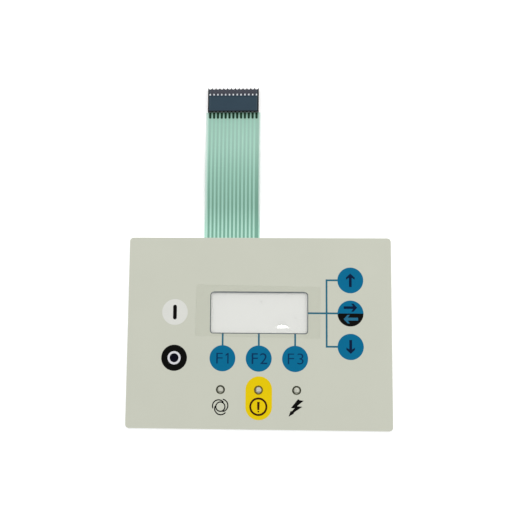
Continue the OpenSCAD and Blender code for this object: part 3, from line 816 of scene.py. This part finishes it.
for name, look in arrowLook.items():
    bm = bmesh.new()
    spot = onFace("dome_" + look["key"], *look["at"])
    addPlate(bm, arrowOutline(look), spot, signUp, math.radians(look["turn"]))
    publish(name + "Arrow", bm, signs[look["ink"]])

warnLook = {
    "drop": 10.33, "radius": 5.08, "line": 1.2,
    "bar": (1.6, 5.0), "barTaper": 0.8, "barRise": 0.5, "dot": 0.5, "dotDrop": 3.0,
}
bm = bmesh.new()
spot = onFace("lens_middle", 0, -warnLook["drop"])
addArc(bm, spot, warnLook["radius"], warnLook["line"], signUp)
barSpot = spot + Vector((0, warnLook["barRise"] * mm, 0))
addPlate(bm, platePoints(*warnLook["bar"], warnLook["barTaper"]), barSpot, signUp)
addDisc(bm, spot - Vector((0, warnLook["dotDrop"] * mm, 0)), warnLook["dot"], signUp)
publish("warningSign", bm, signs["brown"])

swirlLook = {
    "at": (0.08, -10.55), "radius": 2.87, "line": 0.74,
    # turn of each arm, how far its middle lies out, its radius, start and sweep; it is lower than the ring
    "arms": (41, 161, 281), "armOff": 1.19, "armRadius": 3.82, "back": 124, "sweep": 165,
    "armShare": 0.9, "armSteps": 40,
}
bm = bmesh.new()
spot = onFace("lens_left", *swirlLook["at"])
addArc(bm, spot, swirlLook["radius"], swirlLook["line"], signUp)
for arm in swirlLook["arms"]:
    away = Matrix.Rotation(math.radians(arm), 3, "Z") @ Vector((swirlLook["armOff"] * mm, 0, 0))
    addArc(bm, spot + away, swirlLook["armRadius"], swirlLook["line"], signUp * swirlLook["armShare"],
           arm - swirlLook["back"], swirlLook["sweep"], swirlLook["armSteps"])
publish("swirlSign", bm, signs["black"])

boltLook = {
    "outline": [(0.86, -5.36), (2.01, -6.04), (4.46, -6.35), (0.26, -9.69), (3.61, -10.03),
                (-1.74, -13.69), (-1.79, -14.4), (-5.04, -16.18), (-3.82, -12.9), (-2.88, -12.76),
                (-1.25, -11.08), (-3.58, -10.89)],
}
bm = bmesh.new()
addPlate(bm, boltLook["outline"], onFace("lens_right"), signUp)
publish("boltSign", bm, signs["black"])
print("signs drawn")


# protective film, lifted in a few places

guardLook = {
    "w": 79.4, "h": 32.8, "corner": 0.8, "cornerSteps": 6, "turn": -0.85, "thick": 0.055, "lift": 0.005,
    "cell": 0.8,
    # x, y, half length, half width, turn and height of low waves
    "waves": [(-36.5, 24.0, 3.0, 1.6, 60, 0.05), (34.0, 27.5, 4.0, 1.2, 5, 0.04)],
}
bubbleLook = {
    "x": 14.85, "y": 2.68, "half": 4.6,        # the middle of its foot and half its width
    "rise": 2.3, "slope": 0.096, "runOut": 0.4,
    # where it is longest and how widely, how long it is elsewhere, and how far its foot sags there
    "peak": -0.95, "swell": 2.3, "shoulder": 0.8, "sag": 0.25,
    "cell": 0.22, "spread": 5.6,               # finer mesh round it
}


def bubbleHeight(px, py):  # in mm, from a place in mm
    look = bubbleLook
    across = px - look["x"]
    ends = max(0.0, 1 - abs(across / look["half"]) ** 3)
    swell = math.exp(-((across - look["peak"]) / look["swell"]) ** 2)
    up = py - look["y"] + look["sag"] * swell
    hump = look["shoulder"] + (1 - look["shoulder"]) * swell
    crest = look["rise"] * ends * hump + look["sag"] * swell
    if up <= 0 or crest <= 0:
        return 0.0
    if up <= crest:
        return look["slope"] * up
    return look["slope"] * crest * math.exp(-((up - crest) / (crest + look["runOut"])) ** 2)


def waveHeight(px, py):
    total = 0.0
    for wx, wy, long, wide, turn, height in guardLook["waves"]:
        away = Matrix.Rotation(math.radians(-turn), 2) @ Vector((px - wx, py - wy))
        total += height * math.exp(-(away.x / long) ** 4 - (away.y / wide) ** 2)
    return total


def cutPlaces(half, fine):  # along one side: coarse cells, with finer ones round the bubble
    count = int(2 * half / (guardLook["cell"] * mm))
    coarse = [half * (2 * i / count - 1) for i in range(1, count)]
    spread = int(bubbleLook["spread"] / bubbleLook["cell"])
    near = [fine + i * bubbleLook["cell"] * mm for i in range(-spread, spread + 1)]
    return [c for c in coarse if c < near[0] or c > near[-1]] + [c for c in near if abs(c) < half]


def makeGuard():
    look = guardLook
    centre = middle("protective_film")
    halfW, halfH = look["w"] / 2 * mm, look["h"] / 2 * mm
    bm = bmesh.new()
    corners = [bm.verts.new((px * mm, py * mm, 0)) for px, py in platePoints(look["w"], look["h"])]
    bm.faces.new(corners)
    roundCorners(bm, corners, look["corner"], look["cornerSteps"])
    fineX = bubbleLook["x"] * mm - centre.x
    fineY = (bubbleLook["y"] + bubbleLook["rise"] / 2) * mm - centre.y
    for axis, half, fine in (((1, 0, 0), halfW, fineX), ((0, 1, 0), halfH, fineY)):
        for at in cutPlaces(half, fine):
            bmesh.ops.bisect_plane(bm, geom=bm.verts[:] + bm.edges[:] + bm.faces[:], dist=1e-7,
                                   plane_co=Vector(axis) * at, plane_no=axis)
    turned = Matrix.Rotation(math.radians(look["turn"]), 3, "Z")
    bmesh.ops.rotate(bm, verts=bm.verts[:], cent=(0, 0, 0), matrix=turned)
    bmesh.ops.translate(bm, verts=bm.verts[:], vec=(centre.x, centre.y, faceZ + look["lift"] * mm))
    for vert in bm.verts:
        px, py = vert.co.x / mm, vert.co.y / mm
        vert.co.z += (bubbleHeight(px, py) + waveHeight(px, py)) * mm
    thicken(bm, bm.faces[:], look["thick"] * mm)
    publish("protectiveFilm", bm, guardClear, ("protective_film",))


makeGuard()
print("protective film laid")


# lamp lenses

lensShape = {
    "steps": 56, "sharpFrom": 50,
    # radius and height above the face, from the crown out over the shell and back inside
    "profile": [(0, 0.5), (0.3, 0.495), (0.6, 0.478), (0.85, 0.45), (1.05, 0.41), (1.18, 0.36),
                (1.28, 0.31), (1.37, 0.305), (1.46, 0.33), (1.56, 0.33), (1.67, 0.295), (1.78, 0.235),
                (1.88, 0.165), (1.98, 0.085), (2.08, 0.0), (2.1, -0.1), (2.1, -0.25), (3.2, -0.25),
                (3.2, -0.35), (1.85, -0.35), (1.85, -0.1), (1.6, 0.02), (1.1, 0.1), (0.6, 0.14),
                (0, 0.15)],
}

for side in lampNames:
    bm = spinShell(lensShape["profile"], lensShape["steps"], middle("lens_" + side), faceZ)
    publish(side + "Lens", bm, lensPlastic, ("lens_" + side,), lensShape["sharpFrom"])
print("lenses spun")


# snap domes behind the keys

domeShape = {
    "radius": 6.0, "rim": 0.5, "height": 0.42, "sheet": 0.08, "rings": 16, "steps": 72,
    "dimple": 0.9, "dimpleDepth": 0.05,
}
crownRadius = domeShape["radius"] - domeShape["rim"]


def domeUnder(r):  # underside of the sheet above the rim's foot
    look = domeShape
    crown = (look["height"] - look["sheet"]) * max(0.0, 1 - (r / crownRadius) ** 2)
    return crown - look["dimpleDepth"] * max(0.0, 1 - (r / look["dimple"]) ** 2) ** 2


def makeDome(key):
    look = domeShape
    radii = [crownRadius * i / look["rings"] for i in range(look["rings"] + 1)] + [look["radius"]]
    over = [(r, domeUnder(r) + look["sheet"]) for r in radii]
    under = [(r, domeUnder(r)) for r in reversed(radii)]
    bm = spinShell(over + under, look["steps"], middle("dome_" + key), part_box("dome_" + key)[0].z)
    publish(key + "Dome", bm, domeSteel, ("dome_" + key,))


for key in keyNames:
    makeDome(key)
print("domes pressed")


# floor, light and camera

floorLook = {
    "size": 3.0, "drop": 0.02, "colour": (250, 250, 250), "lift": 0.24,
    "farLift": 0.6, "far": (0.35, 1.3),  # in metres: white to its edge, where the lamps don't reach
}


def makeFloor():
    look = floorLook
    finish = Finish("floor")
    coords, x, y = finish.place()
    path = finish.node("LightPath", out="Is Camera Ray")
    seen = path + path.of("Is Glossy Ray") + path.of("Is Transmission Ray")
    far = distance(x, y).ramp(*look["far"])
    board = finish.node("BsdfDiffuse", {}, {"Color": shade(*look["colour"])})
    lift = seen * (look["lift"] + far * look["farLift"])
    glow = finish.node("Emission", {}, {"Color": (1, 1, 1, 1), "Strength": lift})
    finish.wear(finish.node("AddShader", {}, {0: board, 1: glow}))
    bm = bmesh.new()
    bmesh.ops.create_grid(bm, x_segments=1, y_segments=1, size=look["size"],
                          matrix=Matrix.Translation((0, 0, -look["drop"] * mm)))
    mesh = bpy.data.meshes.new("floor")
    bm.to_mesh(mesh)
    bm.free()
    mesh.materials.append(finish.owner)
    floor = bpy.data.objects.new("floor", mesh)
    bpy.context.scene.collection.objects.link(floor)


skyLook = {"overhead": 0.24, "horizon": 1.0, "lean": 0.5}


def makeSky():
    world = bpy.data.worlds.new("studio")
    bpy.context.scene.world = world
    finish = Finish("studio", world)
    towards = finish.node("TexCoord", out="Generated")
    height = finish.node("SeparateXYZ", {}, {0: towards}, out="Z")
    level = skyLook["horizon"] - height * height * (skyLook["horizon"] - skyLook["overhead"])
    level = level * (1 + height.of("Y") * skyLook["lean"])  # brighter behind the panel
    seen = finish.node("LightPath", out="Is Camera Ray")  # plain white behind the floor
    level = level * (1 - seen) + seen
    light = finish.node("Background", {}, {"Color": (1, 1, 1, 1), "Strength": level})
    finish.node("OutputWorld", {}, {"Surface": light})


softboxes = {
    "back": {"spot": (0.05, 0.74, 1.0), "size": (0.5, 0.3), "power": 3.1},
    "right": {"spot": (0.95, -0.08, 0.85), "size": (0.5, 0.5), "power": 3.0},
    "left": {"spot": (-0.95, -0.08, 0.85), "size": (0.5, 0.5), "power": 1.95},
    "top": {"spot": (0.02, -0.26, 1.25), "size": (0.16, 0.16), "power": 0.5},
}
softboxAim = (0, 0.03, 0)


def makeLamps():
    for name, look in softboxes.items():
        lamp = bpy.data.lights.new(name + "Softbox", "AREA")
        lamp.shape = "RECTANGLE"
        lamp.size, lamp.size_y = look["size"]
        lamp.energy = look["power"]
        holder = bpy.data.objects.new(name + "Softbox", lamp)
        holder.location = look["spot"]
        ahead = Vector(softboxAim) - Vector(look["spot"])
        holder.rotation_euler = ahead.to_track_quat("-Z", "Y").to_euler()
        bpy.context.scene.collection.objects.link(holder)


cameraLook = {
    "spot": (12.76, 11.00, 384.66), "aim": (0.37, 46.21, 1.25), "up": (-0.0044, 0.99579, 0.0916),
    "lens": 41.54, "sensor": 36, "nearest": 10,
}


def makeCamera():
    look = cameraLook
    spot = Vector(look["spot"]) * mm
    ahead = (Vector(look["aim"]) * mm - spot).normalized()
    right = ahead.cross(Vector(look["up"])).normalized()
    turned = Matrix((right, right.cross(ahead), -ahead)).transposed()
    lens = bpy.data.cameras.new("camera")
    lens.sensor_width = look["sensor"]
    lens.lens = look["lens"]
    lens.clip_start = look["nearest"] * mm
    camera = bpy.data.objects.new("camera", lens)
    camera.matrix_world = Matrix.Translation(spot) @ turned.to_4x4()
    bpy.context.scene.collection.objects.link(camera)
    bpy.context.scene.camera = camera


makeFloor()
makeSky()
makeLamps()
makeCamera()
bpy.context.scene.view_settings.view_transform = "Standard"
bpy.context.scene.cycles.transparent_max_bounces = 24  # several clear films, down and up again
print("stage set")
